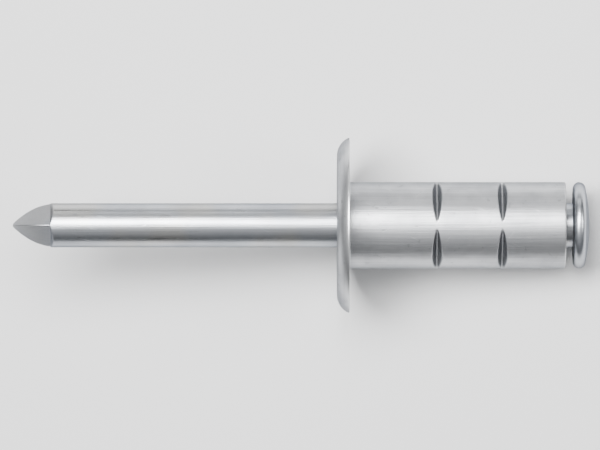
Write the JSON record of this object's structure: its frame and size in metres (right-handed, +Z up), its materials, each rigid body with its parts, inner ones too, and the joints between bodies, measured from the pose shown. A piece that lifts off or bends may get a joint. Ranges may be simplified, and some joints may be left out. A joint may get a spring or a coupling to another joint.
{
  "type": "blind rivet",
  "caption": "Multi-grip blind rivet with a domed flange and a crimped sleeve on its headed, pointed pulling pin; joins sheets from one side.",
  "frame": {"origin": "centre of the flange's underside, on the rivet's axis", "axes": "+X level, in the upright plane of the rivet's axis, towards the pin's head; +Z up, as the rivet lies at rest"},
  "size_m": [0.0264, 0.008, 0.008],
  "materials": {
    "sleeve": "satin",
    "pin": "bright zinc-plated"
  },
  "bodies": {
    "root": {"rivet_body": "sleeve", "mandrel": "pin"}
  },
  "joints": []
}
